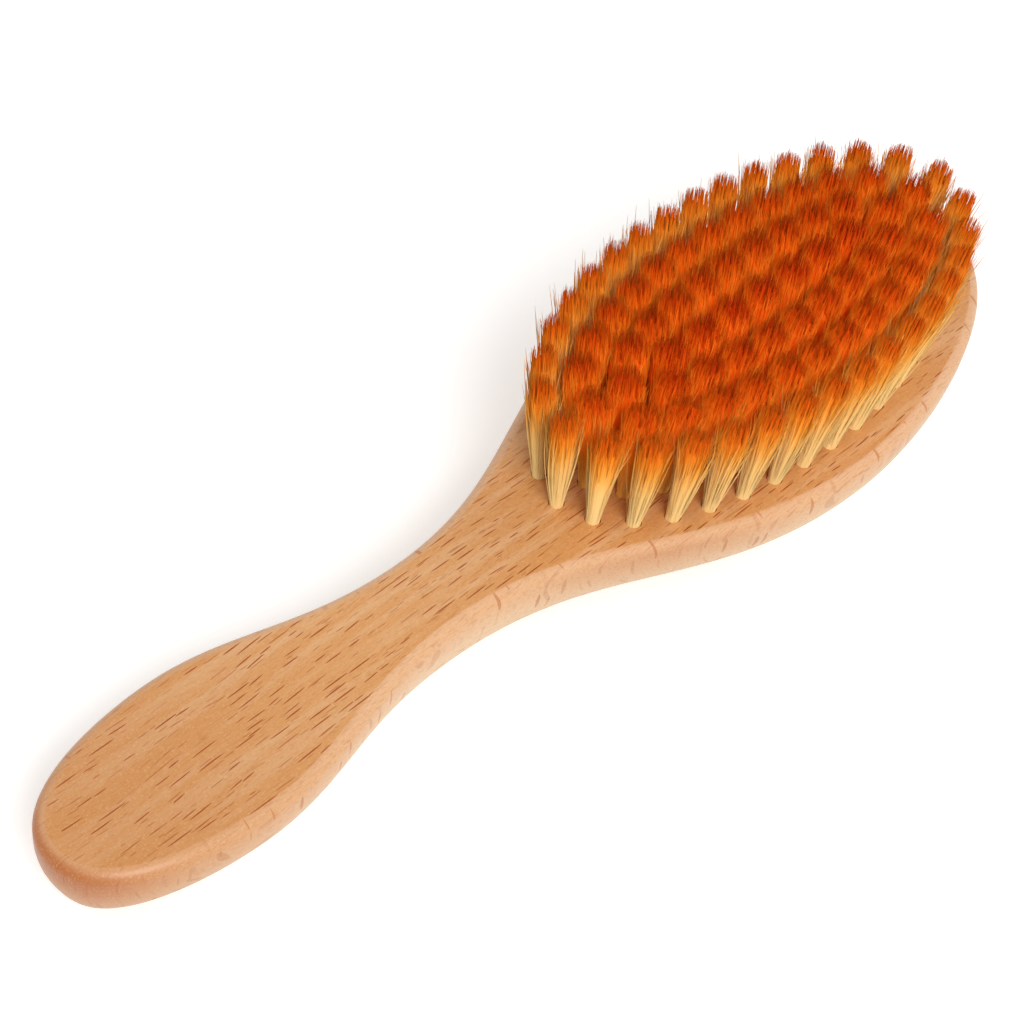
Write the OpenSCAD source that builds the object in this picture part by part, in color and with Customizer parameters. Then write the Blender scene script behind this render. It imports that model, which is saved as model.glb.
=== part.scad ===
// Beard brush: one piece of wood for handle and head, drilled with rings of blind holes.
// A tuft of bristle is folded over a flat metal anchor and driven into each hole.
// The brush lies on its back along X, handle end at -X, bristles up.

/* [Wooden body] */
// Length of the wood from the handle's end to the head's tip
length = 180; // [172:1:192]
// Thickness of the wood from the back to the bristle face
thickness = 14; // [12.5:0.5:18]
// Width across the grip
grip_w = 26.4; // [22:0.2:30]
// Distance from the handle's end to the widest part of the grip
grip_x = 26; // [20:1:34]
// Width across the neck
neck_w = 14; // [11:0.2:18]
// Distance from the handle's end to the neck
neck_x = 64; // [56:1:70]
// Width across the head
head_w = 48.6; // [45:0.2:56]
// Distance from the handle's end to the widest part of the head
head_x = 131; // [124:1:136]
// Radius of the soft edge round the bristle face
face_edge_r = 1.9; // [0.8:0.1:2.4]
// Height of the straight band between the face edge and the rounded back
side_band = 1.2; // [0.6:0.1:2]
// How far the rounding of the back reaches in from the side
back_round = 11; // [6:0.5:12]

/* [Outline curve] */
// How blunt the handle's end is
end_bluntness = 0.88; // [0.6:0.01:0.95]
// How long the grip stays wide towards its end
grip_fullness = 0.24; // [0.15:0.01:0.6]
// How long the grip stays wide towards the neck
grip_taper = 0.36; // [0.25:0.01:0.5]
// How long the neck stays slim towards the grip
neck_slim_back = 0.45; // [0.3:0.01:0.55]
// How long the neck stays slim towards the head
neck_slim_front = 0.39; // [0.3:0.01:0.5]
// How long the head stays wide towards the neck
head_fullness = 0.46; // [0.35:0.01:0.55]
// How long the head stays wide towards its tip
head_taper = 0.42; // [0.3:0.01:0.6]
// How blunt the head's tip is
tip_bluntness = 0.57; // [0.45:0.01:0.8]

/* [Bristle field] */
// Distance from the handle's end to the first tuft
field_start = 89; // [86:0.5:92]
// Bare wood from the last tuft to the head's tip
toe_margin = 11.6; // [9:0.1:14]
// Bare wood from the outer ring to the side of the head
side_margin = 6.5; // [5.5:0.1:7]
// Distance between the tufts of a ring
tuft_pitch = 5.9; // [5.8:0.1:7.5]
// Height of the trimmed bristles above the face
bristle_h = 20; // [12:0.5:24]
// Outward lean of the outer ring in degrees
splay = 4.5; // [0:0.5:6]

/* [Tuft] */
// Diameter of a drilled hole
hole_d = 2.4; // [2.1:0.1:2.6]
// Depth of a drilled hole
hole_depth = 9; // [7:0.5:10]
// Gap between the packed roots and the hole's wall and bottom
root_fit = 0.1; // [0.05:0.01:0.2]
// Height of the packed roots above the face
root_proud = 0.5; // [0.3:0.1:1]
// Distance of the outer strands from the tuft's axis where they leave the roots
root_spread = 0.62; // [0.58:0.01:0.64]
// Distance of the outer strands from the tuft's axis at the tips
tip_spread = 1.75; // [1.4:0.05:1.8]
// Radius of a strand at its tip
strand_tip_r = 0.85; // [0.3:0.05:0.9]

/* [Anchor] */
// Height of an anchor along the hole
anchor_h = 1.6; // [1:0.1:2]
// Thickness of an anchor
anchor_t = 0.35; // [0.25:0.05:0.5]
// Bristle folded under an anchor
fold = 0.8; // [0.5:0.1:1.2]
// Gap between an anchor's ends and the hole's wall
anchor_fit = 0.05; // [0.03:0.01:0.1]
// Gap between an anchor and the bristle round it
slot_fit = 0.05; // [0.03:0.01:0.1]

/* [Hidden] */
RINGS = ["outer", "second", "third", "centre"];
ARCS = [8, 6, 4, 2];
centre_row = len(RINGS) - 1;

wood_colour = [0.85, 0.64, 0.42];
bristle_colour = [0.93, 0.50, 0.13];
metal_colour = [0.74, 0.75, 0.77];

// Points on each span of the outline, and rings on each rounding.
span_steps = 18;
edge_steps = 4;
back_steps = 8;
// The rounding of the back takes at most this share of the way to the middle line.
round_share = 0.85;
strand_sides = 3;
outer_strands = 4;
root_sides = 6;
hole_sides = 12;
// The strands start this far above the anchor's slot, and holes are cut this far above the face.
start_gap = 0.3;
overcut = 1;
golden_angle = 137.5;
ring_samples = 360;

back_h = thickness - face_edge_r - side_band;
field_end = length - toe_margin;
field_x = (field_start + field_end) / 2;
field_a = (field_end - field_start) / 2;
field_b = head_w / 2 - side_margin;
ring_gap = field_b / centre_row;
centre_half = field_a - ring_gap * (centre_row + 0.5);

// ---- outline of the wood, upper side from the handle's end to the head's tip ----

function bezier(p, t) =
    pow(1 - t, 3) * p[0] + 3 * pow(1 - t, 2) * t * p[1]
    + 3 * (1 - t) * pow(t, 2) * p[2] + pow(t, 3) * p[3];

function bezier_direction(p, t) =
    pow(1 - t, 2) * (p[1] - p[0]) + 2 * (1 - t) * t * (p[2] - p[1])
    + pow(t, 2) * (p[3] - p[2]);

// A span between two level points; a and b are the shares of it that stay near each end's width.
function level_span(x0, w0, x1, w1, a, b) = [
    [x0, w0],
    [x0 + a * (x1 - x0), w0],
    [x1 - b * (x1 - x0), w1],
    [x1, w1]
];

SPANS = [
    [
        [0, 0],
        [0, end_bluntness * grip_w / 2],
        [grip_x * (1 - grip_fullness), grip_w / 2],
        [grip_x, grip_w / 2]
    ],
    level_span(grip_x, grip_w / 2, neck_x, neck_w / 2, grip_taper, neck_slim_back),
    level_span(neck_x, neck_w / 2, head_x, head_w / 2, neck_slim_front, head_fullness),
    [
        [head_x, head_w / 2],
        [head_x + head_taper * (length - head_x), head_w / 2],
        [length, tip_bluntness * head_w / 2],
        [length, 0]
    ]
];

function unit(v) = v / norm(v);

// Each edge point holds its x, its half width and its outward normal.
function edge_point(s, t) =
    let (p = bezier(SPANS[s], t), d = unit(bezier_direction(SPANS[s], t)))
    [p.x, p.y, -d.y, d.x];

EDGE = concat(
    [for (s = [0:len(SPANS) - 1]) for (i = [0:span_steps - 1]) edge_point(s, i / span_steps)],
    [edge_point(len(SPANS) - 1, 1)]
);
last = len(EDGE) - 1;

// Distance from an edge point to the middle line, straight in from the edge.
function room(i) =
    let (e = EDGE[min(max(i, 1), last - 1)])
    e[1] / e[3];

// Inward reach of the back's rounding: back_round where the wood is wide, less where it is slim.
function back_reach(i) =
    let (r = round_share * room(i))
    back_round * r / pow(pow(back_round, 4) + pow(r, 4), 1 / 4);

// Levels from the face down to the back: [inset at the face edge, share of the back reach, z].
LEVELS = concat(
    [
        for (j = [0:edge_steps])
            let (a = 90 * j / edge_steps)
            [face_edge_r * (1 - sin(a)), 0, thickness - face_edge_r * (1 - cos(a))]
    ],
    [
        for (j = [0:back_steps])
            let (a = 90 * j / back_steps)
            [0, 1 - cos(a), back_h * (1 - sin(a))]
    ]
);

function wood_point(level, i, side) =
    let (e = EDGE[i], inset = level[0] + level[1] * back_reach(i))
    [e[0] - e[2] * inset, side * (e[1] - e[3] * inset), level[2]];

// One closed loop of points at a level: along the +Y side, then back along the -Y side.
function wood_loop(level) = concat(
    [for (i = [0:last]) wood_point(level, i, 1)],
    [for (i = [last - 1:-1:1]) wood_point(level, i, -1)]
);

module wood_blank() {
    n = 2 * last;
    levels = len(LEVELS);
    base = (levels - 1) * n;
    sides = [
        for (j = [0:levels - 2]) for (i = [0:n - 1])
            let (a = j * n + i, b = j * n + (i + 1) % n)
            each [[a, a + n, b + n], [a, b + n, b]]
    ];
    // The face and the back are strips across from the +Y points to the -Y points.
    face = [
        for (i = [0:last - 1])
            let (a = i, b = i + 1, c = (n - i - 1) % n, d = (n - i) % n)
            each concat(i < last - 1 ? [[a, b, c]] : [], i > 0 ? [[a, c, d]] : [])
    ];
    back = [for (f = face) [base + f[2], base + f[1], base + f[0]]];
    polyhedron(
        points = [for (level = LEVELS) each wood_loop(level)],
        faces = concat(sides, face, back),
        convexity = 4
    );
}

// ---- places of the tufts: each is [x, y, direction of lean, angle of lean] ----

function ring_a(r) = field_a - r * ring_gap;
function ring_b(r) = field_b - r * ring_gap;
function on_ring(r, a) = [ring_a(r) * cos(a), ring_b(r) * sin(a)];
function lean_of(r) = splay * (1 - pow(r / len(RINGS), 2));

// Running length along half a ring, as pairs of length and angle.
function half_ring(r, i = 1, out = [[0, 0]]) =
    i > ring_samples / 2 ? out :
    let (
        a = i * 360 / ring_samples,
        step = norm(on_ring(r, a) - on_ring(r, out[len(out) - 1][1]))
    )
    half_ring(r, i + 1, concat(out, [[out[len(out) - 1][0] + step, a]]));

function ring_places(r) =
    let (
        table = half_ring(r),
        half_length = table[len(table) - 1][0],
        n = round(half_length / tuft_pitch)
    )
    [
        for (i = [0:2 * n - 1])
            let (
                side = i <= n ? 1 : -1,
                a = side * lookup(half_length * (i <= n ? i : 2 * n - i) / n, table),
                p = on_ring(r, a),
                out = atan2(ring_a(r) * sin(a), ring_b(r) * cos(a))
            )
            [field_x + p.x, p.y, out, lean_of(r)]
    ];

function centre_places() =
    let (n = floor(2 * centre_half / tuft_pitch))
    [
        for (i = [0:n])
            let (x = centre_half * (2 * i / n - 1))
            [field_x + x, 0, 0, lean_of(centre_row) * x / centre_half]
    ];

PLACES = [for (r = [0:centre_row]) r < centre_row ? ring_places(r) : centre_places()];

// The tufts of one arc, out of the arcs that a ring is divided into.
function arc_places(r, k) =
    let (n = len(PLACES[r]))
    [for (i = [0:n - 1]) if (floor(i * ARCS[r] / n) == k - 1) concat(PLACES[r][i], [i])];

// Puts its children on the face at a tuft's place, with Z along the tuft.
module at_tuft(place) {
    translate([place[0] - length / 2, place[1], thickness])
        rotate([0, place[3], place[2]])
            children();
}

// ---- pieces ----

module wooden_body() {
    color(wood_colour)
        difference() {
            translate([-length / 2, 0, 0]) wood_blank();
            for (ring = PLACES) for (place = ring)
                at_tuft(place)
                    translate([0, 0, -hole_depth])
                        cylinder(d = hole_d, h = hole_depth + overcut, $fn = hole_sides);
        }
}

// Height of the trimmed tips in a tuft's own frame, at a distance x along its lean.
function trim_z(place, x) = (bristle_h + x * sin(place[3])) / cos(place[3]);

// A strand grows from a point in the packed roots, above the anchor, to the trimmed tips.
// dir is where it stands round the tuft's axis; root_at and tip_at are its distances from it.
module strand(place, dir, root_at, tip_at, turn) {
    start_z = fold + anchor_h + start_gap - hole_depth;
    slope = (tip_at - root_at) / (bristle_h - root_proud);
    out = [cos(dir), sin(dir)];
    start = out * (root_at + slope * (start_z - root_proud));
    tip = [
        for (i = [0:strand_sides - 1])
            let (a = turn + 360 * i / strand_sides)
            out * tip_at + strand_tip_r * [cos(a), sin(a)]
    ];
    points = concat([[start.x, start.y, start_z]], [for (p = tip) [p.x, p.y, trim_z(place, p.x)]]);
    sides = [for (i = [0:strand_sides - 1]) [0, 1 + i, 1 + (i + 1) % strand_sides]];
    trimmed = [[for (i = [strand_sides:-1:1]) i]];
    polyhedron(points = points, faces = concat(sides, trimmed));
}

// Roots packed in the hole, folded under the anchor's slot, with the strands fused on top.
module tuft(place) {
    spin = place[4] * golden_angle;
    at_tuft(place)
        union() {
            difference() {
                translate([0, 0, root_fit - hole_depth])
                    rotate([0, 0, 180 / root_sides])
                        cylinder(
                            r = hole_d / 2 - root_fit,
                            h = hole_depth - root_fit + root_proud,
                            $fn = root_sides
                        );
                translate([-hole_d, -anchor_t / 2 - slot_fit, fold - slot_fit - hole_depth])
                    cube([2 * hole_d, anchor_t + 2 * slot_fit, anchor_h + 2 * slot_fit]);
            }
            strand(place, 0, 0, 0, spin);
            for (i = [0:outer_strands - 1])
                let (dir = spin + 360 * i / outer_strands)
                strand(place, dir, root_spread, tip_spread, dir);
        }
}

module tufts(r, k) {
    color(bristle_colour)
        for (place = arc_places(r, k)) tuft(place);
}

// Flat strips of metal, one across the bottom of each hole of a ring.
module anchors(r) {
    anchor_l = hole_d - 2 * anchor_fit;
    color(metal_colour)
        for (place = PLACES[r])
            at_tuft(place)
                translate([-anchor_l / 2, -anchor_t / 2, fold - hole_depth])
                    cube([anchor_l, anchor_t, anchor_h]);
}

wooden_body();
for (r = [0:centre_row]) for (k = [1:ARCS[r]])
    tufts(r, k);
for (r = [0:centre_row])
    anchors(r);
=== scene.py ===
"""A beard brush: lacquered beech with rings of bristle tufts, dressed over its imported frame."""

import math
from collections import namedtuple

import bpy
import numpy as np
from bpy.props import FloatProperty, FloatVectorProperty, IntProperty, PointerProperty
from bpy.types import Operator, Panel, PropertyGroup
from mathutils import Matrix, Vector
from mathutils.geometry import delaunay_2d_cdt


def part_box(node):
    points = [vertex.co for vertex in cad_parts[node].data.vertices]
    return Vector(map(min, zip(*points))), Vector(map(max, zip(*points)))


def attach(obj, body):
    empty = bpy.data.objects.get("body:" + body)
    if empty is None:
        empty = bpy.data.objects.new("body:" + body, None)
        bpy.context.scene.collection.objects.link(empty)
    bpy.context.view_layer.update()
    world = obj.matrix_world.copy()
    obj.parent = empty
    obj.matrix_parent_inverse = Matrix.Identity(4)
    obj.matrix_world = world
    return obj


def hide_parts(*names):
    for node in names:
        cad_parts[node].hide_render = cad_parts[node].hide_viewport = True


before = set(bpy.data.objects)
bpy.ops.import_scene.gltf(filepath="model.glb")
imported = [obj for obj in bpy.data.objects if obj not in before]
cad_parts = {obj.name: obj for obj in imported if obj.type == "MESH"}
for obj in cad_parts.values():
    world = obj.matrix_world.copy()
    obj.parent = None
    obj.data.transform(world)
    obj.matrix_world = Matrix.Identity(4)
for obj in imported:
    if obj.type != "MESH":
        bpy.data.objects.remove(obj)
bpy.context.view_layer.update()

bl_info = {
    "name": "Beard Brush",
    "version": (1, 0, 0),
    "blender": (4, 5, 0),
    "location": "3D View > Sidebar > Beard Brush",
    "description": "Dresses the frame of a beard brush in lacquered beech and graded bristle",
    "category": "Object",
}

WOOD_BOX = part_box("wooden_body")
TIPS_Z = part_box("centre_tufts_1")[1].z
# Per ring: the arcs it is divided into, the tints of its roots and tips, how late its tint climbs,
# how much later on the side that faces the middle, how wide its hairs are packed, and its share of
# loose hairs. The tints differ from ring to ring as painted light and shade: the inner rings start
# deeper orange at their roots, standing in for light that passes through the bristles into their
# shade, and end darker at their tips as painted shade; the later climb keeps the side that faces
# the middle paler, as a painted backlight.
Ring = namedtuple("Ring", "arcs root_tint tip_tint climb inward packed loose")
RINGS = {
    "outer": Ring(8, 0.0, 0.88, 1.35, 0.9, 0.0037, 0.24),
    "second": Ring(6, 0.36, 0.94, 1.2, 0.3, 0.0053, 0.24),
    "third": Ring(4, 0.44, 0.96, 1.2, 0.1, 0.0057, 0.22),
    "centre": Ring(2, 0.5, 0.99, 1.2, 0.0, 0.0057, 0.22),
}
GOLDEN_ANGLE = math.radians(137.5)
SEED = 7

# Steps of the wood's mesh: along a span of the outline, round the face edge, round the back.
SPAN_STEPS, EDGE_STEPS, BACK_STEPS = 40, 8, 20
HOLE_SIDES = 24
# Steps along half a ring when its length is measured.
RING_STEPS = 180

# The name of the map that the materials are baked to.
BAKE_MAP = "OFBake"
# The wood's map: how many lengths of the brush it spans, its stretch across the grain, the heights
# of the middles of the face and the back, and the heights of the tops of the two side strips.
BAKE_LENGTH, BAKE_STRETCH = 1.12, 1.55
FACE_ROW, BACK_ROW = 0.79, 0.13
SIDE_ROWS = (0.58, 0.42)
# Near its top, the walls of the holes share a strip and their floors a disc.
WALL_ROWS, FLOOR_SPOT = (0.99, 0.97), (0.2, 0.98)

# Bristle meshes: sides of a hair, the heights of its rings as shares of its length, and how thick
# it is along it, at its root, under its last ring and at its tip.
HAIR_SIDES = 3
HAIR_RINGS = np.array([0, 0.25, 0.45, 0.6, 0.8, 1.0])
HAIR_TAPER = (1.0, 0.85, 0.25)
# The packed core of a tuft: its sides, the heights of its wall's rings, the widths of its crown's
# rings as shares of its top, and how far the longest hairs stand above it.
CORE_SIDES = 60
WALL_RINGS = np.array([0, 0.01, 0.12, 0.25, 0.45, 0.6, 0.8, 0.95, 1.0])
CROWN_RINGS = np.array([0.85, 0.68, 0.5, 0.3, 0.1])
CORE_DROP = 0.0036
# How far a core's sides are fluted in and out, as shares of its width, and how uneven its crown is.
FLUTES, UNEVEN = (-0.06, 0.02), 0.0005
# How far a tuft has opened at these shares of its height: a straight fan, then a slight taper.
OPENING = ((0.0, 0.1, 0.25, 0.45, 0.6, 0.8, 1.0), (0.0, 0.08, 0.26, 0.6, 0.88, 1.0, 0.88))
# Tufts reach this far into their holes.
ROOT_DEPTH = 0.0025
# Of all hairs, the share along a tuft's surface, and of the loose ones, the share that strays.
SURFACE_SHARE, STRAY_SHARE = 0.2, 0.06
# Hairs that gather in a lock, how much shorter a lock can be, and how far the hairs inside a tuft
# and the others are drawn into their lock.
HAIRS_PER_LOCK, LOCK_DEPTH = 11, 0.0006
LOCK_PULLS = (0.4, 0.12)
# How far the loose hairs and the others bow to a side, and how many times as ragged the loose ones are.
BOWS, LOOSE_RAGGED = (0.00025, 0.00006), 2.2
# The bristle's bake map has a strip for each shade of hair, with a margin on both its sides.
SHADES, STRIP_MARGIN = 15, 0.15
# Every other corner of a cap lies this much lower on the map, so that the cap has an area there.
# Tints keep this far from the map's ends.
CAP_STEP, TINT_MARGIN = 0.02, 0.005


def linear(code):
    """A colour written as six hex digits, as Blender's linear values."""
    parts = [int(code[i : i + 2], 16) / 255 for i in (0, 2, 4)]
    return [c / 12.92 if c <= 0.04045 else ((c + 0.055) / 1.055) ** 2.4 for c in parts]


def size(name, description, default):
    return FloatProperty(name=name, description=description, default=default, unit="LENGTH", precision=4)


def share(name, description, default):
    return FloatProperty(name=name, description=description, default=default, min=0, max=1)


def degrees(name, description, default):
    turn = math.radians(default)
    return FloatProperty(name=name, description=description, default=turn, subtype="ANGLE")


def watts(name, description, default):
    return FloatProperty(name=name, description=description, default=default, unit="POWER")


def colour(name, description, code):
    return FloatVectorProperty(
        name=name, description=description, default=linear(code), subtype="COLOR", min=0, max=1
    )


# ---- settings ----


class WoodSettings(PropertyGroup):
    """Sizes and colours of the wooden body."""

    length: size("Length", "From the handle's end to the head's tip", WOOD_BOX[1].x - WOOD_BOX[0].x)
    thickness: size("Thickness", "From the back to the bristle face", WOOD_BOX[1].z)
    grip_width: size("Grip width", "Width across the grip", 0.0264)
    grip_at: size("Grip place", "From the handle's end to the widest part of the grip", 0.026)
    neck_width: size("Neck width", "Width across the neck", 0.014)
    neck_at: size("Neck place", "From the handle's end to the neck", 0.064)
    head_width: size("Head width", "Width across the head", WOOD_BOX[1].y - WOOD_BOX[0].y)
    head_at: size("Head place", "From the handle's end to the widest part of the head", 0.131)
    face_edge: size("Face edge", "Radius of the soft edge round the bristle face", 0.0019)
    side_band: size("Side band", "Height of the straight band under the face edge", 0.0012)
    back_round: size("Back rounding", "Reach of the back's rounding from the side", 0.011)
    round_share: share("Rounding limit", "Most of the way to the middle that it takes", 0.85)
    end_bluntness: share("End bluntness", "How blunt the handle's end is", 0.88)
    grip_fullness: share("Grip fullness", "How long the grip stays wide towards its end", 0.24)
    grip_taper: share("Grip taper", "How long the grip stays wide towards the neck", 0.36)
    neck_back: share("Neck to grip", "How long the neck stays slim towards the grip", 0.45)
    neck_front: share("Neck to head", "How long the neck stays slim towards the head", 0.39)
    head_fullness: share("Head fullness", "How long the head stays wide towards the neck", 0.46)
    head_taper: share("Head taper", "How long the head stays wide towards its tip", 0.42)
    tip_bluntness: share("Tip bluntness", "How blunt the head's tip is", 0.57)
    face_colour: colour("Face", "Colour of the beech on its flat faces", "D5975A")
    pale_colour: colour("Pale streak", "Colour of the paler streaks", "DDAA78")
    edge_colour: colour("Edge", "Colour of the beech round its soft edge", "DDAE84")
    # Painted light: the beech of the rounded sides is paler than the face, as if lit from below.
    lit_side_colour: colour("Side", "Colour of the beech on its rounded sides", "E4C49C")
    # Painted shade: the grip darkens towards the handle's end, where less light falls.
    grip_shade_colour: colour("Grip", "Deeper colour that the grip takes towards its end", "BE7C42")
    # Painted shade on the handle's end, the side turned away from the light.
    end_shade_colour: colour("End grain", "Colour of the end grain at the handle's end", "B0652F")
    ray_colour: colour("Ray", "Colour of the dark rays in the face", "9C4508")
    fleck_colour: colour("Fleck", "Colour of the broader flecks on the sides", "B4641E")
    fibre_colour: colour("Fibre", "Colour of the darker fibres", "B5712F")
    speck_colour: colour("Speck", "Colour of the fine pale specks", "F0C79A")


class BristleSettings(PropertyGroup):
    """Sizes and colours of the bristle tufts."""

    field_start: size("Field start", "From the handle's end to the first tuft", 0.089)
    toe_margin: size("Toe margin", "Bare wood from the last tuft to the head's tip", 0.0116)
    side_margin: size("Side margin", "Bare wood from the outer ring to the side", 0.0065)
    pitch: size("Pitch", "Distance between the tufts of a ring", 0.0059)
    height: size("Height", "Height of the trimmed tips above the face", TIPS_Z - WOOD_BOX[1].z)
    splay: degrees("Splay", "Outward lean of the outer ring", 4.5)
    hole_width: size("Hole width", "Diameter of a drilled hole", 0.0024)
    hole_depth: size("Hole depth", "Depth of a drilled hole", 0.009)
    hairs: IntProperty(name="Hairs", description="Hairs in a tuft", default=290, min=20, max=400)
    hair_width: size("Hair width", "Thickness of a hair", 0.00016)
    root_width: size("Root width", "Width of a tuft where it leaves the wood", 0.0021)
    fringe_width: size("Fringe width", "Width of the loose fringe of a tuft at its tips", 0.0066)
    dome: size("Dome", "How much lower a tuft is at its edge than in its middle", 0.0005)
    ragged: size("Raggedness", "How unevenly the tips are trimmed", 0.0006)
    root_colour: colour("Root", "Colour where the bristle leaves the wood", "FAD28E")
    low_colour: colour("Low", "Colour a quarter of the way up", "FFCC7A")
    middle_colour: colour("Middle", "Colour halfway up", "FFAC42")
    high_colour: colour("High", "Colour two thirds of the way up", "FF9020")
    deep_colour: colour("Deep", "Colour under the tips", "FF6202")
    # The tips' own colour, made darker as painted shade for the depth seen down into the tufts.
    tip_and_shade_colour: colour("Tip", "Colour of the trimmed tips", "E23802")


class StageSettings(PropertyGroup):
    """Camera, light and floor."""

    turn: degrees("Turn", "Turn of the view from across the brush", 51.89)
    rise: degrees("Rise", "Height of the view above the horizon", 49.95)
    roll: degrees("Roll", "Roll of the camera", -9.79)
    aim_along: size("Aim along", "Target's distance from the face's middle towards the handle", 0.00711)
    aim_across: size("Aim across", "Target's distance from the face's middle towards the far side", 0.00279)
    distance: size("Distance", "From the camera to its target", 0.32727)
    lens: FloatProperty(name="Lens", description="Focal length in millimetres", default=81.67)
    ambient: FloatProperty(name="Ambient", description="Strength of the light from all round", default=0.46)
    floor_glow: share("Floor glow", "Light added to the floor as the camera sees it", 0.35)
    key_power: watts("Key power", "Power of the key lamp", 5.9)
    fill_power: watts("Fill power", "Power of each fill lamp", 1.4)
    floor_colour: colour("Floor", "Colour of the floor", "F2F1EF")
    floor_width: size("Floor width", "Side of the square floor", 1.2)


# ---- shader maths ----


class Signal:
    """One output in a material's nodes. Arithmetic with numbers and other signals adds Math nodes."""

    def __init__(self, tree, socket=None):
        self.tree = tree
        self.socket = socket

    def node(self, kind, inputs=None, output=0, **settings):
        """Adds a node of any kind: its settings first, then its sockets' values or links."""
        made = self.tree.nodes.new(kind)
        for name, value in settings.items():
            if name == "stops":
                for _ in value[2:]:
                    made.color_ramp.elements.new(0.5)
                for element, (place, shade) in zip(made.color_ramp.elements, value):
                    element.position = place
                    element.color = (*shade, 1)
            else:
                setattr(made, name, value)
        for name, value in (inputs or {}).items():
            if isinstance(value, Signal):
                self.tree.links.new(value.socket, made.inputs[name])
            else:
                made.inputs[name].default_value = value
        return Signal(self.tree, made.outputs[output])

    def maths(self, operation, *others):
        return self.node("ShaderNodeMath", dict(enumerate((self, *others))), operation=operation)

    def __add__(self, other):
        return self.maths("ADD", other)

    def __sub__(self, other):
        return self.maths("SUBTRACT", other)

    def __rsub__(self, other):
        return self.node("ShaderNodeMath", {0: other, 1: self}, operation="SUBTRACT")

    def __mul__(self, other):
        return self.maths("MULTIPLY", other)

    __radd__ = __add__
    __rmul__ = __mul__

    def above(self, low, high):
        """0 below low, 1 above high, and a smooth step between them."""
        return self.node(
            "ShaderNodeMapRange", {0: self, 1: low, 2: high}, interpolation_type="SMOOTHSTEP"
        )

    def part(self, axis):
        """The X, Y or Z of a vector."""
        return self.node("ShaderNodeSeparateXYZ", {0: self}, output="XYZ".index(axis))

    def vector_maths(self, operation, *values):
        return self.node("ShaderNodeVectorMath", dict(enumerate((self, *values))), operation=operation)

    def noise(self, cell, detail=2.0, roughness=0.5):
        """Smooth noise whose features are as large as the cell, given in metres."""
        at = self.vector_maths("MULTIPLY", [1 / side for side in cell])
        return self.node(
            "ShaderNodeTexNoise", {"Vector": at, "Scale": 1.0, "Detail": detail, "Roughness": roughness}
        )


def tinted(base, other, amount, blend="MIX"):
    """A colour with another mixed or multiplied over it."""
    source = next(value for value in (amount, base, other) if isinstance(value, Signal))
    return source.node(
        "ShaderNodeMix",
        {
            0: amount,
            6: base if isinstance(base, Signal) else (*base, 1),
            7: other if isinstance(other, Signal) else (*other, 1),
        },
        output=2,
        data_type="RGBA",
        blend_type=blend,
    )


def new_finish(name, **values):
    """A material with one Principled shader: returns it, its first signal and the shader's sockets."""
    material = bpy.data.materials.new(name)
    material.use_nodes = True
    tree = material.node_tree
    shader = tree.nodes["Principled BSDF"]
    for key, value in values.items():
        shader.inputs[key.replace("_", " ").title().replace("Ior", "IOR")].default_value = value
    return material, Signal(tree), shader.inputs


def feed(signal, socket):
    signal.tree.links.new(signal.socket, socket)


def rays(place, cell, half, share_of_cells):
    """Beech rays: thin upright lenses along the grain, at most one in each cell. A level face cuts
    them to dashes and a side shows them as broader flecks."""
    scaled = place.vector_maths("MULTIPLY", [1 / side for side in cell])
    cells = {"Vector": scaled, "Scale": 1.0}
    centre = place.node("ShaderNodeTexVoronoi", cells, output="Position")
    chance = place.node("ShaderNodeTexVoronoi", cells, output="Color")
    offset = scaled.vector_maths("SUBTRACT", centre)
    # Each ray has its own length, tilt and depth of colour.
    length = (0.35 + 0.65 * chance.part("X")) * (half[0] / cell[0])
    along = offset.part("X").maths("DIVIDE", length)
    tilt = (chance.part("Z") - 0.5) * (0.12 * cell[0] / cell[1])
    across = (offset.part("Y") + offset.part("X") * tilt) * (cell[1] / half[1])
    up = offset.part("Z") * (cell[2] / half[2])
    inside = 1 - along * along - across * across - up * up
    depth = chance.part("Y").above(1 - share_of_cells, 1.6 - share_of_cells)
    return inside.above(0, 0.4) * depth


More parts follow.
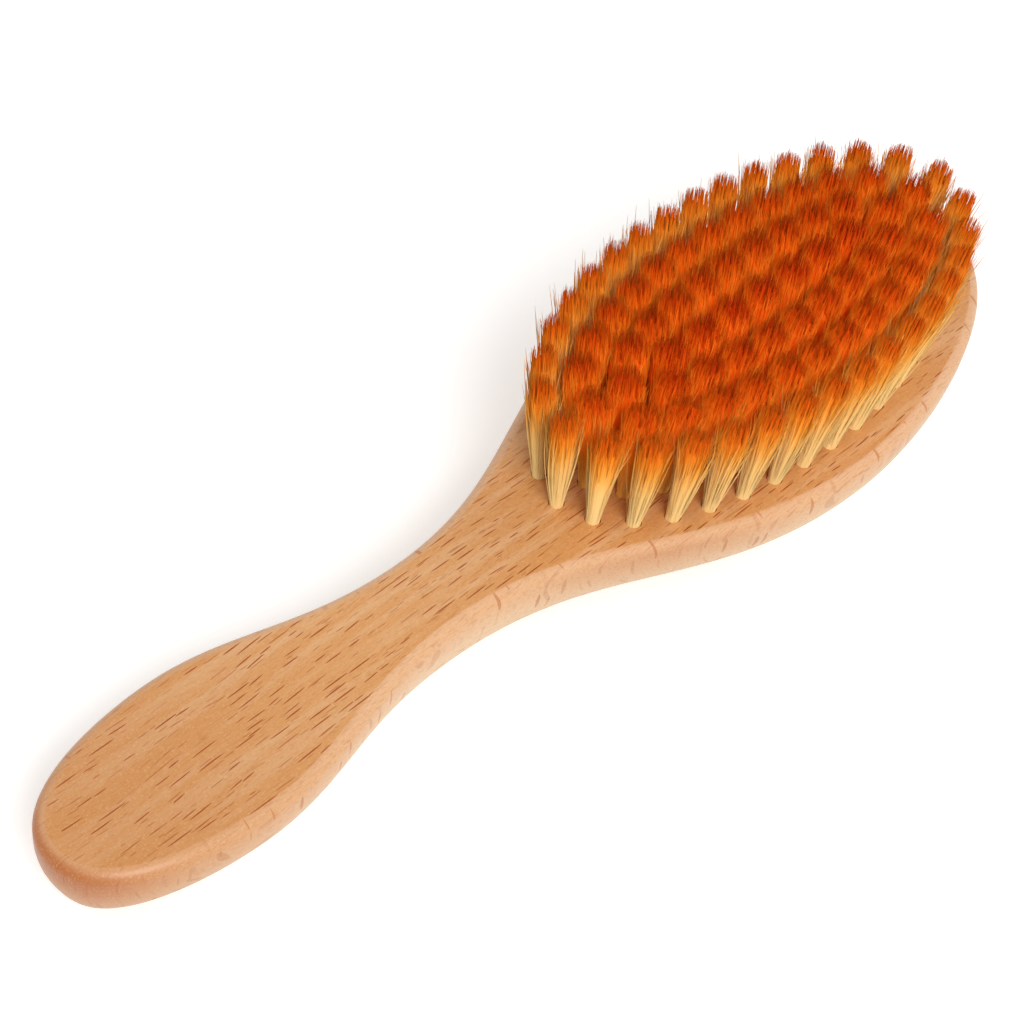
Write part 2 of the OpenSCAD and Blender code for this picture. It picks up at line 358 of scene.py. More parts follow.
def beech_finish(wood):
    """Lacquered beech: streaks, fibres and dark rays along the grain; the rounded sides are paler as
    painted light, and the grip and the handle's end darker as painted shade.
    """
    material, start, shader = new_finish(
        "Lacquered beech", roughness=0.42, specular_ior_level=0.4, coat_weight=0.15, coat_roughness=0.25
    )
    place = start.node("ShaderNodeTexCoord", output="Object")
    normal = start.node("ShaderNodeNewGeometry", output="Normal")
    # How flat the wood lies: 1 on the face, and up to 0.7 where the back levels out.
    flat = normal.part("Z").above(0.982, 0.999) + (normal.part("Z") * -1).above(0.7, 1.0) * 0.7
    # Painted shade: the handle's end, which faces away from the light.
    end = (normal.part("X") * -1).above(0.1, 0.8)
    under_edge = place.part("Z").above(0.5 * wood.thickness, 0.95 * wood.thickness)

    # The grain wanders a little to each side along the brush.
    wander = place.noise((0.03, 0.02, 0.03), detail=1.0) - 0.5
    sideways = start.node("ShaderNodeCombineXYZ", {"Y": wander * 0.003})
    grain_place = place.vector_maths("ADD", sideways)

    streak = grain_place.noise((0.05, 0.0028, 0.006), detail=3.0, roughness=0.6)
    fibre = grain_place.noise((0.0011, 0.00016, 0.0003), detail=2.0, roughness=0.6)
    speck = place.noise((0.0003, 0.0003, 0.0003), detail=1.0)
    # Each kind of ray has its cell, its half size, and the share of cells that hold one.
    bold = rays(grain_place, (0.0050, 0.0011, 0.0042), (0.0027, 0.00012, 0.0021), 0.95)
    moved = grain_place.vector_maths("ADD", (0.031, 0.017, 0.023))
    faint = rays(moved, (0.0034, 0.0011, 0.0040), (0.0017, 0.00011, 0.0022), 0.85)
    fleck = rays(moved, (0.0034, 0.0045, 0.0052), (0.0005, 0.0024, 0.0019), 0.8) * (1 - flat)

    base = tinted(wood.face_colour, wood.pale_colour, streak.above(0.42, 0.66))
    # Painted light: the sides are paler than the face and palest towards the back, as if lit from below.
    side = tinted(wood.lit_side_colour, wood.edge_colour, under_edge)
    base = tinted(side, base, flat * 0.85 + 0.15)
    # Painted shade: the wood darkens towards the handle's end.
    base = tinted(base, wood.grip_shade_colour, (place.part("X") * -1).above(0.035, 0.085) * 0.55)
    # Painted shade on the handle's end, strongest under the face edge.
    base = tinted(base, wood.end_shade_colour, end * (0.45 + 0.5 * under_edge))
    base = tinted(base, wood.fibre_colour, (0.52 - fibre).above(0, 0.22) * 0.36)
    base = tinted(base, wood.speck_colour, (speck - 0.5).above(0, 0.3) * 0.22)
    base = tinted(base, wood.fleck_colour, fleck * 0.6)
    base = tinted(base, wood.ray_colour, faint * (0.15 + 0.35 * flat))
    base = tinted(base, wood.ray_colour, bold * (0.2 + 0.75 * flat))
    feed(base, shader["Base Color"])
    feed(0.38 + 0.12 * fibre + 0.1 * bold, shader["Roughness"])
    relief = fibre * 0.25 - bold - 0.5 * faint
    bump = start.node("ShaderNodeBump", {"Strength": 0.2, "Distance": 0.00004, "Height": relief})
    feed(bump, shader["Normal"])
    return material


def bristle_finish(bristle):
    """Graded bristle: the bake map holds a hair's shade across it and its height up it."""
    material, start, shader = new_finish("Graded bristle", roughness=0.6, specular_ior_level=0.06)
    spot = start.node("ShaderNodeUVMap", uv_map=BAKE_MAP)
    shade = (spot.part("X") * SHADES).maths("FLOOR")
    chance = start.node("ShaderNodeTexWhiteNoise", {"W": shade}, noise_dimensions="1D")
    height = spot.part("Y") + (chance - 0.5) * 0.2
    stops = [
        (0.0, bristle.root_colour),
        (0.26, bristle.low_colour),
        (0.45, bristle.middle_colour),
        (0.62, bristle.high_colour),
        (0.85, bristle.deep_colour),
        # The tip stop is partly the bristle's own colour and partly painted shade.
        (0.98, bristle.tip_and_shade_colour),
    ]
    graded = start.node("ShaderNodeValToRGB", {0: height}, stops=[(p, tuple(c)) for p, c in stops])
    # About four in ten shades are a little browner.
    browner = (1.0, 0.62, 0.3)
    streaked = tinted(graded, browner, (0.4 - chance).above(0, 0.4) * 0.35, blend="MULTIPLY")
    feed(streaked, shader["Base Color"])
    return material


def anchor_finish():
    """Anchor steel with fine brush marks."""
    material, start, shader = new_finish("Anchor steel", roughness=0.3, metallic=1.0)
    place = start.node("ShaderNodeTexCoord", output="Object")
    brushed = place.noise((0.0002, 0.0015, 0.00005), detail=3.0)
    feed(tinted(linear("B9BBBF"), linear("D8D9DC"), brushed), shader["Base Color"])
    feed(0.24 + 0.18 * brushed, shader["Roughness"])
    return material


# ---- wood ----


def bezier(points, t):
    """Places on a curve of four points at each t, and its directions there."""
    a, b, c, d = (np.array(p)[None, :] for p in points)
    t = t[:, None]
    place = (1 - t) ** 3 * a + 3 * (1 - t) ** 2 * t * b + 3 * (1 - t) * t**2 * c + t**3 * d
    direction = (1 - t) ** 2 * (b - a) + 2 * (1 - t) * t * (c - b) + t**2 * (d - c)
    return place, direction / np.linalg.norm(direction, axis=1)[:, None]


def outline(wood):
    """Half the outline from the handle's end to the head's tip: places and outward normals."""

    def level_span(x0, w0, x1, w1, a, b):
        return [(x0, w0), (x0 + a * (x1 - x0), w0), (x1 - b * (x1 - x0), w1), (x1, w1)]

    grip, neck, head = wood.grip_width / 2, wood.neck_width / 2, wood.head_width / 2
    spans = [
        [
            (0, 0),
            (0, wood.end_bluntness * grip),
            (wood.grip_at * (1 - wood.grip_fullness), grip),
            (wood.grip_at, grip),
        ],
        level_span(wood.grip_at, grip, wood.neck_at, neck, wood.grip_taper, wood.neck_back),
        level_span(wood.neck_at, neck, wood.head_at, head, wood.neck_front, wood.head_fullness),
        [
            (wood.head_at, head),
            (wood.head_at + wood.head_taper * (wood.length - wood.head_at), head),
            (wood.length, wood.tip_bluntness * head),
            (wood.length, 0),
        ],
    ]
    steps = np.arange(SPAN_STEPS) / SPAN_STEPS
    pieces = [bezier(span, steps) for span in spans[:-1]]
    pieces.append(bezier(spans[-1], np.append(steps, 1.0)))
    places = np.concatenate([place for place, _ in pieces])
    directions = np.concatenate([direction for _, direction in pieces])
    return places, np.stack([-directions[:, 1], directions[:, 0]], 1)


def wood_levels(wood):
    """Loops from the face down to the back: inset, share of the back's reach, and height."""
    edge, back = wood.face_edge, wood.thickness - wood.face_edge - wood.side_band
    levels = []
    for a in np.linspace(0, math.pi / 2, EDGE_STEPS + 1):
        levels.append((edge * (1 - math.sin(a)), 0, wood.thickness - edge * (1 - math.cos(a))))
    for a in np.linspace(0, math.pi / 2, BACK_STEPS + 1):
        levels.append((0, 1 - math.cos(a), back * (1 - math.sin(a))))
    return levels


def wood_surface(wood):
    """Points of the wood's loops as an array of levels by loop by 3, and one side's point count."""
    places, normals = outline(wood)
    last = len(places) - 1
    # The back's rounding reaches in by its set size, or by less where the middle line is near. The
    # two end points take their neighbours' limit.
    ends = np.clip(np.arange(last + 1), 1, last - 1)
    room = wood.round_share * places[ends, 1] / normals[ends, 1]
    reach = wood.back_round * room / (wood.back_round**4 + room**4) ** 0.25
    order = np.concatenate([np.arange(last + 1), np.arange(last - 1, 0, -1)])
    side = np.where(np.arange(2 * last) <= last, 1.0, -1.0)
    loops = []
    for inset, part, z in wood_levels(wood):
        at = places - normals * (inset + part * reach)[:, None]
        loops.append(
            np.stack([at[order, 0] - wood.length / 2, side * at[order, 1], np.full(2 * last, z)], 1)
        )
    return np.array(loops), last


def lengths_along(points):
    """How far each point of a line is from its first one, along it."""
    return np.append(0, np.cumsum(np.linalg.norm(np.diff(points, axis=0), axis=1)))


def tuft_places(wood, bristle):
    """Per ring, its tufts as x, y, direction of lean and angle of lean, as the holes are drilled."""
    field_end = wood.length - bristle.toe_margin
    middle = (bristle.field_start + field_end) / 2 - wood.length / 2
    reach = np.array([(field_end - bristle.field_start) / 2, wood.head_width / 2 - bristle.side_margin])
    centre_row = len(RINGS) - 1
    gap = reach[1] / centre_row
    rings = []
    for r in range(len(RINGS)):
        lean = bristle.splay * (1 - (r / len(RINGS)) ** 2)
        if r == centre_row:
            half = reach[0] - gap * (centre_row + 0.5)
            n = math.floor(2 * half / bristle.pitch)
            rings.append([(middle + half * s, 0.0, 0.0, lean * s) for s in np.linspace(-1, 1, n + 1)])
            continue
        a, b = reach - r * gap
        angles = np.linspace(0, math.pi, RING_STEPS + 1)
        ring = np.stack([a * np.cos(angles), b * np.sin(angles)], 1)
        run = lengths_along(ring)
        n = round(run[-1] / bristle.pitch)
        tufts = []
        for i in range(2 * n):
            side, k = (1, i) if i <= n else (-1, 2 * n - i)
            angle = side * np.interp(run[-1] * k / n, run, angles)
            x, y = a * math.cos(angle), b * math.sin(angle)
            tufts.append((middle + x, y, math.atan2(a * math.sin(angle), b * math.cos(angle)), lean))
        rings.append(tufts)
    return rings


def tuft_frame(place, face_z):
    """Matrix of a tuft: its origin on the face and its Z along the tuft."""
    x, y, direction, lean = place
    return (
        Matrix.Translation((x, y, face_z))
        @ Matrix.Rotation(direction, 4, "Z")
        @ Matrix.Rotation(lean, 4, "Y")
    )


def hole_rings(place, wood, bristle):
    """The rim of a drilled hole on the face, and the edge of its floor."""
    to_world = tuft_frame(place, wood.thickness)
    lean = place[3]
    rim, floor = [], []
    for k in range(HOLE_SIDES):
        a = 2 * math.pi * k / HOLE_SIDES
        x, y = bristle.hole_width / 2 * math.cos(a), bristle.hole_width / 2 * math.sin(a)
        rim.append(to_world @ Vector((x, y, x * math.tan(lean))))
        floor.append(to_world @ Vector((x, y, -bristle.hole_depth)))
    return rim, floor


class MeshParts:
    """Points, faces and bake-map corners gathered for one mesh."""

    def __init__(self):
        self.points, self.faces, self.corners = [], [], []

    def add_points(self, points):
        start = len(self.points)
        self.points.extend(tuple(p) for p in points)
        return start

    def add_face(self, face, corners):
        self.faces.append(tuple(face))
        self.corners.extend(corners)

    def build(self, name, material):
        mesh = bpy.data.meshes.new(name)
        mesh.from_pydata(self.points, [], self.faces)
        layer = mesh.uv_layers.new(name=BAKE_MAP)
        layer.uv.foreach_set("vector", np.array(self.corners, np.float32).ravel())
        mesh.shade_smooth()
        return add_piece(name, mesh, material)


def add_piece(name, mesh, material):
    mesh.materials.append(material)
    piece = bpy.data.objects.new(name, mesh)
    bpy.context.scene.collection.objects.link(piece)
    return piece


def add_hole(parts, rim, floor):
    """The wall and the floor of a drilled hole."""
    top = parts.add_points(rim)
    low = parts.add_points(floor)
    high_row, low_row = WALL_ROWS
    disc = []
    for k in range(HOLE_SIDES):
        m = (k + 1) % HOLE_SIDES
        u, v = 0.01 + 0.1 * k / HOLE_SIDES, 0.01 + 0.1 * (k + 1) / HOLE_SIDES
        corners = [(u, high_row), (v, high_row), (v, low_row), (u, low_row)]
        parts.add_face((top + k, top + m, low + m, low + k), corners)
        a = 2 * math.pi * k / HOLE_SIDES
        disc.append((FLOOR_SPOT[0] + 0.01 * math.cos(a), FLOOR_SPOT[1] + 0.008 * math.sin(a)))
    parts.add_face(range(low, low + HOLE_SIDES), disc)


def carve_wood(wood, bristle):
    """The wood as one mesh: face with its drilled holes, soft edge, sides and rounded back."""
    loops, last = wood_surface(wood)
    levels, n = loops.shape[:2]
    width = BAKE_LENGTH * wood.length
    parts = MeshParts()
    for loop in loops:
        parts.add_points(loop)

    # The bake map has the face with its edge, a strip for each side, and the back.
    stretch = BAKE_STRETCH / width
    run = lengths_along(loops[EDGE_STEPS, : last + 1])
    down = lengths_along(loops[EDGE_STEPS:, n // 3])

    def planar(point, middle):
        return (0.5 + point[0] / width, middle + point[1] * stretch)

    def strip(level, place, top):
        return (0.01 + 0.98 * run[place] / run[last], top - down[level - EDGE_STEPS] * stretch)

    for j in range(levels - 1):
        for i in range(n):
            k = (i + 1) % n
            face = (j * n + i, j * n + k, (j + 1) * n + k, (j + 1) * n + i)
            if j < EDGE_STEPS:
                corners = [planar(parts.points[p], FACE_ROW) for p in face]
            else:
                a, b, top = (i, i + 1, SIDE_ROWS[0]) if i < last else (n - i, n - i - 1, SIDE_ROWS[1])
                corners = [strip(j, a, top), strip(j, b, top), strip(j + 1, b, top), strip(j + 1, a, top)]
            parts.add_face(face, corners)
    base = (levels - 1) * n
    for i in range(last):
        a, b, c, d = i, i + 1, (n - i - 1) % n, (n - i) % n
        face = [base + p for p in dict.fromkeys((a, b, c, d))]
        parts.add_face(face, [planar(parts.points[p], BACK_ROW) for p in face])

    # The face is cut round the holes, and each hole gets its wall and floor.
    places = [place for ring in tuft_places(wood, bristle) for place in ring]
    rims = [hole_rings(place, wood, bristle) for place in places]
    flat_points = [Vector(p[:2]) for p in loops[0]]
    edges = [(i, (i + 1) % n) for i in range(n)]
    for rim, _ in rims:
        start = len(flat_points)
        flat_points.extend(p.to_2d() for p in rim)
        edges.extend((start + k, start + (k + 1) % HOLE_SIDES) for k in range(HOLE_SIDES))
    found, _, triangles, origins, _, _ = delaunay_2d_cdt(flat_points, edges, [], 1, 1e-9)
    first_rim = len(parts.points)
    index = [
        origin[0] if origin[0] < n else parts.add_points([(point.x, point.y, wood.thickness)])
        for point, origin in zip(found, origins)
    ]
    past_rims = len(parts.points)
    centres = np.array([place[:2] for place in places])
    for triangle in triangles:
        middle = sum((found[i] for i in triangle), Vector((0, 0))) / 3
        if np.linalg.norm(centres - np.array(middle), axis=1).min() > 0.98 * bristle.hole_width / 2:
            face = [index[i] for i in triangle]
            parts.add_face(face, [planar(parts.points[p], FACE_ROW) for p in face])
    for rim, floor in rims:
        add_hole(parts, rim, floor)
    piece = parts.build("beech_body", beech_finish(wood))

    # The face and the back are truly flat, so their edges keep level normals.
    level = np.zeros((len(parts.points), 3))
    level[:n, 2] = 1
    level[first_rim:past_rims, 2] = 1
    level[base : base + n, 2] = -1
    piece.data.normals_split_custom_set_from_vertices(level)
    return piece


# ---- bristles ----


def opening(rise):
    """How far a tuft has opened at a share of its height."""
    return np.interp(rise, *OPENING)


def into_locks(tips, core, inside):
    """Draws the hairs' tips towards the middles of small locks. Returns the tips, the lock of each
    hair and the number of locks."""
    locks = max(len(tips) // HAIRS_PER_LOCK, 3)
    lock = np.arange(locks)
    turn = lock * GOLDEN_ANGLE + 1.0
    middles = core * np.sqrt((lock + 0.5) / locks)[:, None] * np.stack([np.cos(turn), np.sin(turn)], 1)
    nearest = np.linalg.norm(tips[:, None] - middles[None], axis=2).argmin(1)
    pull = np.where(inside, *LOCK_PULLS)[:, None]
    return tips * (1 - pull) + middles[nearest] * pull, nearest, locks


def tuft_hairs(ring, bristle, lean, chance):
    """Centre lines of a tuft's hairs in its own frame, as hairs by rings by 3, the direction each
    hair leans to, and how far out it stands at its tip, from 0 in the core to 1 in the fringe."""
    count = bristle.hairs
    around = np.arange(count) * GOLDEN_ANGLE + chance.normal(0, 0.25, count)
    core, fringe = ring.packed / 2, bristle.fringe_width / 2
    # Loose hairs leave the tuft, some lie along its surface, and the rest stand inside it.
    kind = chance.random(count)
    loose, inside = kind < ring.loose, kind > ring.loose + SURFACE_SHARE
    out = np.where(inside, 0.92 * chance.random(count) ** 0.5, 1.0)
    spread = core * np.where(inside, out, 0.97 + 0.06 * chance.random(count))
    spread = np.where(loose, core + (fringe - core) * chance.random(count), spread)
    stray = loose & (chance.random(count) < STRAY_SHARE)
    spread = np.where(stray, fringe * (1 + 0.4 * chance.random(count)), spread)
    root = (bristle.root_width - bristle.hair_width) / 2 * out
    toward = np.stack([np.cos(around), np.sin(around)], 1)
    tips = toward * spread[:, None] + chance.normal(0, 0.00006, (count, 2))
    tips, lock, locks = into_locks(tips, core, inside)

    shorter = np.abs(chance.normal(0, 1, count)) * bristle.ragged * np.where(loose, LOOSE_RAGGED, 1.0)
    shorter += LOCK_DEPTH * chance.random(locks)[lock] ** 2
    shorter += bristle.dome * np.clip(spread / core, 0, 1.2) ** 3 * np.where(stray, 0, 1)
    top = (bristle.height + tips[:, 0] * math.sin(lean)) / math.cos(lean) - shorter
    bow = chance.normal(0, 1, (count, 2)) * np.where(loose, *BOWS)[:, None]
    rise = HAIR_RINGS[None, :, None]
    opened = np.where(loose[:, None, None], rise**1.3, opening(rise))
    sideways = toward[:, None, :] * root[:, None, None] * (1 - opened) + tips[:, None, :] * opened
    sideways = sideways + bow[:, None, :] * np.sin(math.pi * rise)
    up = HAIR_RINGS[None, :] * top[:, None]
    lines = np.concatenate([sideways, up[:, :, None]], 2)
    below = lines[:, :1].copy()
    below[:, :, 2] = -ROOT_DEPTH
    return np.concatenate([below, lines], 1), toward, np.clip(spread / fringe, 0, 1)


def tubes_of(lines, widths, sides, turns):
    """Tubes round centre lines, as lines by rings by sides by 3."""
    angle = turns[:, None] + np.arange(sides) * 2 * math.pi / sides
    across = np.stack([np.cos(angle), np.sin(angle), np.zeros_like(angle)], 2)
    return lines[:, :, None, :] + across[:, None] * (widths / 2)[:, :, None, None]


class BristleParts:
    """Tubes gathered for one bristle mesh, with their normals, shades and heights up the hair."""

    def __init__(self):
        self.points, self.normals, self.loops, self.sizes, self.corners = [], [], [], [], []
        self.count = 0

    def add_faces(self, faces, across, shade, tints):
        """Adds faces whose corners lie across their shade's strip of the bake map, and up it by tint."""
        over = (shade + STRIP_MARGIN + (1 - 2 * STRIP_MARGIN) * across) / SHADES
        self.loops.append((faces + self.count).ravel())
        self.sizes.append(np.full(len(faces), faces.shape[1]))
        self.corners.append(np.stack([over.ravel(), tints.ravel()], 1))

    def add_tubes(self, tubes, normals, shades, tints):
        """Adds closed-topped tubes; across the bake map each side has its part of its shade's strip.
        Shades are tubes by gaps between rings by sides, and tints tubes by rings by sides."""
        number, rings, sides = tubes.shape[:3]
        side = np.arange(sides)
        after = (side + 1) % sides
        start = (np.arange(number) * rings * sides)[:, None]
        first = np.arange(rings - 1)[:, None] * sides
        quads = np.stack([first + side, first + after, first + after + sides, first + side + sides], 2)
        quads = (quads.reshape(1, -1, 4) + start[:, :, None]).reshape(-1, 4)
        part = np.stack([side, side + 1, side + 1, side], 1) / sides
        part = np.broadcast_to(part, (number, rings - 1, sides, 4)).reshape(-1, 4)
        quad_shades = np.broadcast_to(shades, (number, rings - 1, sides)).reshape(-1, 1)
        caps = (rings - 1) * sides + side + start
        tints = tints.reshape(-1)
        self.add_faces(quads, part, quad_shades, tints[quads])
        self.add_faces(caps, (side + 0.5) / sides, shades[:, -1, :1], tints[caps] - CAP_STEP * (side % 2))
        self.points.append(tubes.reshape(-1, 3))
        self.normals.append(normals.reshape(-1, 3))
        self.count += tubes.size // 3

    def build(self, name, material):
        loops, sizes = np.concatenate(self.loops), np.concatenate(self.sizes)
        mesh = bpy.data.meshes.new(name)
        mesh.vertices.add(self.count)
        mesh.vertices.foreach_set("co", np.concatenate(self.points).astype(np.float32).ravel())
        mesh.loops.add(len(loops))
        mesh.loops.foreach_set("vertex_index", loops.astype(np.int32))
        mesh.polygons.add(len(sizes))
        mesh.polygons.foreach_set("loop_start", (np.cumsum(sizes) - sizes).astype(np.int32))
        layer = mesh.uv_layers.new(name=BAKE_MAP)
        layer.uv.foreach_set("vector", np.concatenate(self.corners).astype(np.float32).ravel())
        mesh.update(calc_edges=True)
        mesh.shade_smooth()
        mesh.normals_split_custom_set_from_vertices(np.concatenate(self.normals))
        return add_piece(name, mesh, material)


def leaning_out(directions, shape, outward, chance):
    """Normals that point up and outwards from a tuft, so that it shades as one soft body."""
    up = np.zeros((*shape, 3))
    up[..., :2] = directions * outward
    up[..., 2] = 1.0
    up += chance.normal(0, 0.12, shape[:1] + (1,) * (len(shape) - 1) + (3,))
    return up / np.linalg.norm(up, axis=-1, keepdims=True)


def hair_tubes(ring, bristle, lean, chance):
    """A tuft's hairs as thin tapering tubes: their points, normals and shades, how far each leans to
    the outward side of its ring, and how far out in its tuft it stands."""
    lines, toward, out = tuft_hairs(ring, bristle, lean, chance)
    hairs, rings = lines.shape[:2]
    thick = bristle.hair_width * (0.85 + 0.3 * chance.random(hairs))
    taper = np.interp(np.arange(rings), [0, rings - 2, rings - 1], HAIR_TAPER)
    tubes = tubes_of(lines, thick[:, None] * taper, HAIR_SIDES, chance.random(hairs) * 2 * math.pi)
    outward = (0.2 + 0.5 * out)[:, None, None, None]
    normals = leaning_out(toward[:, None, None, :], tubes.shape[:3], outward, chance)
    shades = chance.integers(0, SHADES, (hairs, 1, 1))
    return tubes, normals, shades, toward[:, :1, None], out[:, None, None]


def core_tube(ring, bristle, lean, chance):
    """A tuft's packed core as one fluted tube with an uneven crown, described as hair_tubes does."""
    walls, crown = len(WALL_RINGS), len(CROWN_RINGS)
    line = np.zeros((1, walls + crown, 3))
    rise = np.append(WALL_RINGS, np.ones(crown))
    line[0, :, 2] = rise * (bristle.height / math.cos(lean) - CORE_DROP)
    line[0, 0, 2] = -ROOT_DEPTH
    width = bristle.root_width + (ring.packed - bristle.root_width) * opening(WALL_RINGS)
    width = np.append(width, width[-1] * CROWN_RINGS)
    core = tubes_of(line, width[None], CORE_SIDES, chance.random(1) * 6)
    core[..., :2] *= 1 + chance.uniform(*FLUTES, (1, 1, CORE_SIDES, 1))
    core[:, walls - 1 :, :, 2] += chance.uniform(-UNEVEN, UNEVEN, (1, 1 + crown, CORE_SIDES))
    around = core[..., :2] / np.linalg.norm(core[..., :2], axis=-1, keepdims=True)
    outward = 0.6 * np.append(np.ones(walls), CROWN_RINGS)[:, None, None]
    normals = leaning_out(around, core.shape[:3], outward, chance)
    shades = chance.integers(0, SHADES, (1, walls + crown - 1, CORE_SIDES))
    shades[:, : walls - 1] = shades[:, :1]
    # Its points count as standing randomly far out, so that their tints are uneven.
    return core, normals, shades, around[..., 0], chance.uniform(0, 0.85, core.shape[:3])


def tint_of(ring, rise, toward, out):
    """The tint at a rise up a tuft, given how far outwards it faces and how far out it stands."""
    # Painted backlight: the side that faces the middle climbs later and stays paler.
    climb = ring.climb + ring.inward * np.clip(0.3 - toward, 0, 1)
    # The fringe stays paler, and its outermost hairs the most: painted light shining through the sparse
    # hairs.
    paler = 0.22 * out**4 + 0.8 * np.clip(out - 0.88, 0, 1)
    tint = ring.root_tint + (ring.tip_tint - paler - ring.root_tint) * rise**climb
    return np.clip(tint, TINT_MARGIN, 1 - TINT_MARGIN)


def plant_tuft(parts, ring, place, wood, bristle, chance):
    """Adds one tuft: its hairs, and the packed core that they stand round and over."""
    matrix = np.array(tuft_frame(place, wood.thickness))
    turn, origin = matrix[:3, :3].T, matrix[:3, 3]
    lean = place[3]
    for make_tubes in (hair_tubes, core_tube):
        tubes, normals, shades, toward, out = make_tubes(ring, bristle, lean, chance)
        placed = tubes @ turn + origin
        rise = np.clip((placed[..., 2] - wood.thickness) / bristle.height, 0, 1)
        parts.add_tubes(placed, normals @ turn, shades, tint_of(ring, rise, toward, out))


def plant_tufts(name, ring, places, wood, bristle, material, chance):
    """One piece of bristle: a few neighbouring tufts of a ring."""
    parts = BristleParts()
    for place in places:
        plant_tuft(parts, ring, place, wood, bristle, chance)
    return parts.build(name, material)


# ---- operators ----


class BEARDBRUSH_OT_wood(Operator):
    """Carve the wooden body, with its soft edges, rounded back and drilled holes"""

    bl_idname = "beard_brush.wood"
    bl_label = "Wooden body"

    def execute(self, context):
        scene = context.scene
        piece = carve_wood(scene.brush_wood, scene.brush_bristle)
        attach(piece, "root")
        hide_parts("wooden_body")
        return {"FINISHED"}


class BEARDBRUSH_OT_tufts(Operator):
    """Plant the bristle tufts in their rings"""

    bl_idname = "beard_brush.tufts"
    bl_label = "Bristle tufts"

    def execute(self, context):
        wood, bristle = context.scene.brush_wood, context.scene.brush_bristle
        material = bristle_finish(bristle)
        chance = np.random.default_rng(SEED)
        for (name, ring), places in zip(RINGS.items(), tuft_places(wood, bristle)):
            for k in range(ring.arcs):
                own = [p for i, p in enumerate(places) if i * ring.arcs // len(places) == k]
                node = f"{name}_tufts_{k + 1}"
                piece = plant_tufts(f"bristle_{node}", ring, own, wood, bristle, material, chance)
                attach(piece, "root")
                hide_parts(node)
        return {"FINISHED"}


class BEARDBRUSH_OT_anchors(Operator):
    """Give the anchors in the holes their steel"""

    bl_idname = "beard_brush.anchors"
    bl_label = "Anchors"

    def execute(self, context):
        material = anchor_finish()
        for ring in RINGS:
            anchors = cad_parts[f"{ring}_anchors"]
            anchors.data.materials.clear()
            anchors.data.materials.append(material)
        return {"FINISHED"}


class BEARDBRUSH_OT_stage(Operator):
    """Lay the floor, hang the lamps and set the camera"""

    bl_idname = "beard_brush.stage"
    bl_label = "Stage"

    def execute(self, context):
        stage = context.scene.brush_stage
        lay_floor(stage)
        light_room(stage)
        hang_lamp("key_lamp", (-0.32, -0.6, 0.7), 0.45, stage.key_power)
        hang_lamp("fill_lamp", (0.72, -0.35, 0.62), 0.5, stage.fill_power)
        hang_lamp("back_lamp", (-0.35, 0.75, 0.6), 0.5, stage.fill_power)
        set_camera(stage)
        context.scene.view_settings.view_transform = "Standard"
        return {"FINISHED"}


def seen_ray(start):
    """1 for a camera, glossy or transmission ray, and 0 for light that falls on the object."""
    camera, glossy, through = (
        start.node("ShaderNodeLightPath", output=f"Is {kind} Ray")
        for kind in ("Camera", "Glossy", "Transmission")
    )
    return camera.maths("MAXIMUM", glossy).maths("MAXIMUM", through)


def lay_floor(stage):
    """A pale square floor that looks white and keeps the object's shadow."""
    mesh = bpy.data.meshes.new("floor")
    half = stage.floor_width / 2
    corners = [(-half, -half, 0), (half, -half, 0), (half, half, 0), (-half, half, 0)]
    mesh.from_pydata(corners, [], [range(4)])
    material, start, shader = new_finish("Pale floor", roughness=0.9, base_color=(*stage.floor_colour, 1))
    shader["Emission Color"].default_value = (1, 1, 1, 1)
    shader["Specular IOR Level"].default_value = 0
    feed(seen_ray(start) * stage.floor_glow, shader["Emission Strength"])
    add_piece("floor", mesh, material)


def light_room(stage):
    """A white world that lights the object only as strongly as the ambient setting."""
    world = bpy.data.worlds.new("Studio")
    bpy.context.scene.world = world
    world.use_nodes = True
    start = Signal(world.node_tree)
    background = world.node_tree.nodes["Background"].inputs
    background["Color"].default_value = (1, 1, 1, 1)
    seen = seen_ray(start)
    feed(seen + (1 - seen) * stage.ambient, background["Strength"])


def hang_lamp(name, place, side, power):
    """A square lamp turned to the origin."""
    light = bpy.data.lights.new(name, "AREA")
    light.size = side
    light.energy = power
    lamp = bpy.data.objects.new(name, light)
    lamp.location = place
    lamp.rotation_euler = (-Vector(place)).to_track_quat("-Z", "Y").to_euler()
    bpy.context.scene.collection.objects.link(lamp)


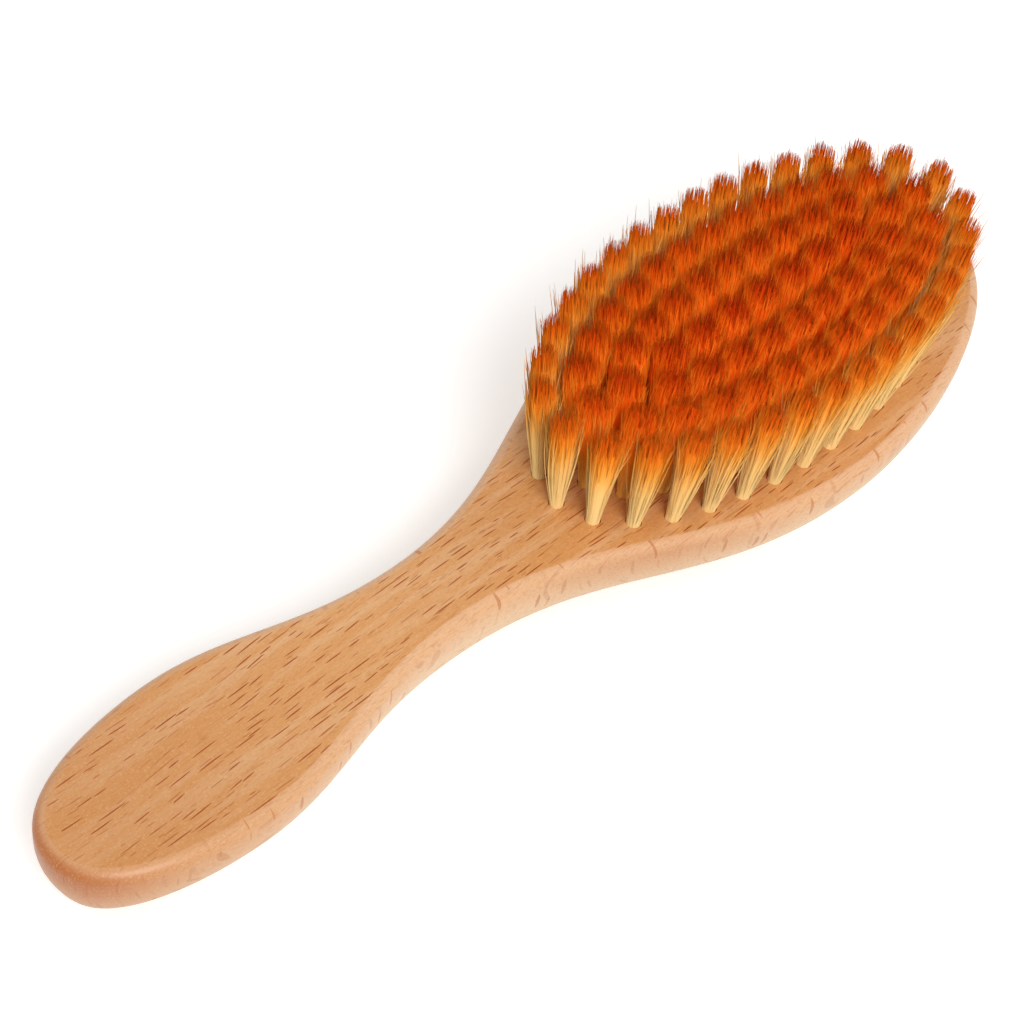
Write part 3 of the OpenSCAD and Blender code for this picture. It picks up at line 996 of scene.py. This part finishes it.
def set_camera(stage):
    """The camera, turned round its target and raised and rolled as set."""
    camera = bpy.data.objects.new("camera", bpy.data.cameras.new("camera"))
    camera.data.lens = stage.lens
    camera.data.clip_start, camera.data.clip_end = 0.01, 20
    middle = (WOOD_BOX[0] + WOOD_BOX[1]) / 2
    target = Vector((middle.x - stage.aim_along, middle.y + stage.aim_across, WOOD_BOX[1].z))
    right = Vector((math.cos(stage.turn), -math.sin(stage.turn), 0))
    away = Vector((math.sin(stage.turn), math.cos(stage.turn), 0))
    up = away * math.sin(stage.rise) + Vector((0, 0, math.cos(stage.rise)))
    forward = away * math.cos(stage.rise) - Vector((0, 0, math.sin(stage.rise)))
    tilted_right = right * math.cos(stage.roll) - up * math.sin(stage.roll)
    tilted_up = right * math.sin(stage.roll) + up * math.cos(stage.roll)
    axes = Matrix((tilted_right, tilted_up, -forward)).transposed().to_4x4()
    camera.matrix_world = Matrix.Translation(target - forward * stage.distance) @ axes
    bpy.context.scene.collection.objects.link(camera)
    bpy.context.scene.camera = camera


class BEARDBRUSH_PT_panel(Panel):
    """Sizes, colours and pieces of the beard brush"""

    bl_idname = "BEARDBRUSH_PT_panel"
    bl_label = "Beard Brush"
    bl_space_type = "VIEW_3D"
    bl_region_type = "UI"
    bl_category = "Beard Brush"

    def draw(self, context):
        for name in ("brush_wood", "brush_bristle", "brush_stage"):
            box = self.layout.box()
            group = getattr(context.scene, name)
            for key in group.__annotations__:
                box.prop(group, key)
        for operator in OPERATORS:
            self.layout.operator(operator.bl_idname)


OPERATORS = (BEARDBRUSH_OT_wood, BEARDBRUSH_OT_tufts, BEARDBRUSH_OT_anchors, BEARDBRUSH_OT_stage)
GROUPS = {"brush_wood": WoodSettings, "brush_bristle": BristleSettings, "brush_stage": StageSettings}


def register():
    for item in (*GROUPS.values(), *OPERATORS, BEARDBRUSH_PT_panel):
        bpy.utils.register_class(item)
    for name, group in GROUPS.items():
        setattr(bpy.types.Scene, name, PointerProperty(type=group))


def unregister():
    for name in GROUPS:
        delattr(bpy.types.Scene, name)
    for item in (BEARDBRUSH_PT_panel, *reversed(OPERATORS), *GROUPS.values()):
        bpy.utils.unregister_class(item)


def main():
    register()
    bpy.ops.beard_brush.wood()
    bpy.ops.beard_brush.tufts()
    bpy.ops.beard_brush.anchors()
    bpy.ops.beard_brush.stage()


if __name__ == "__main__":
    main()
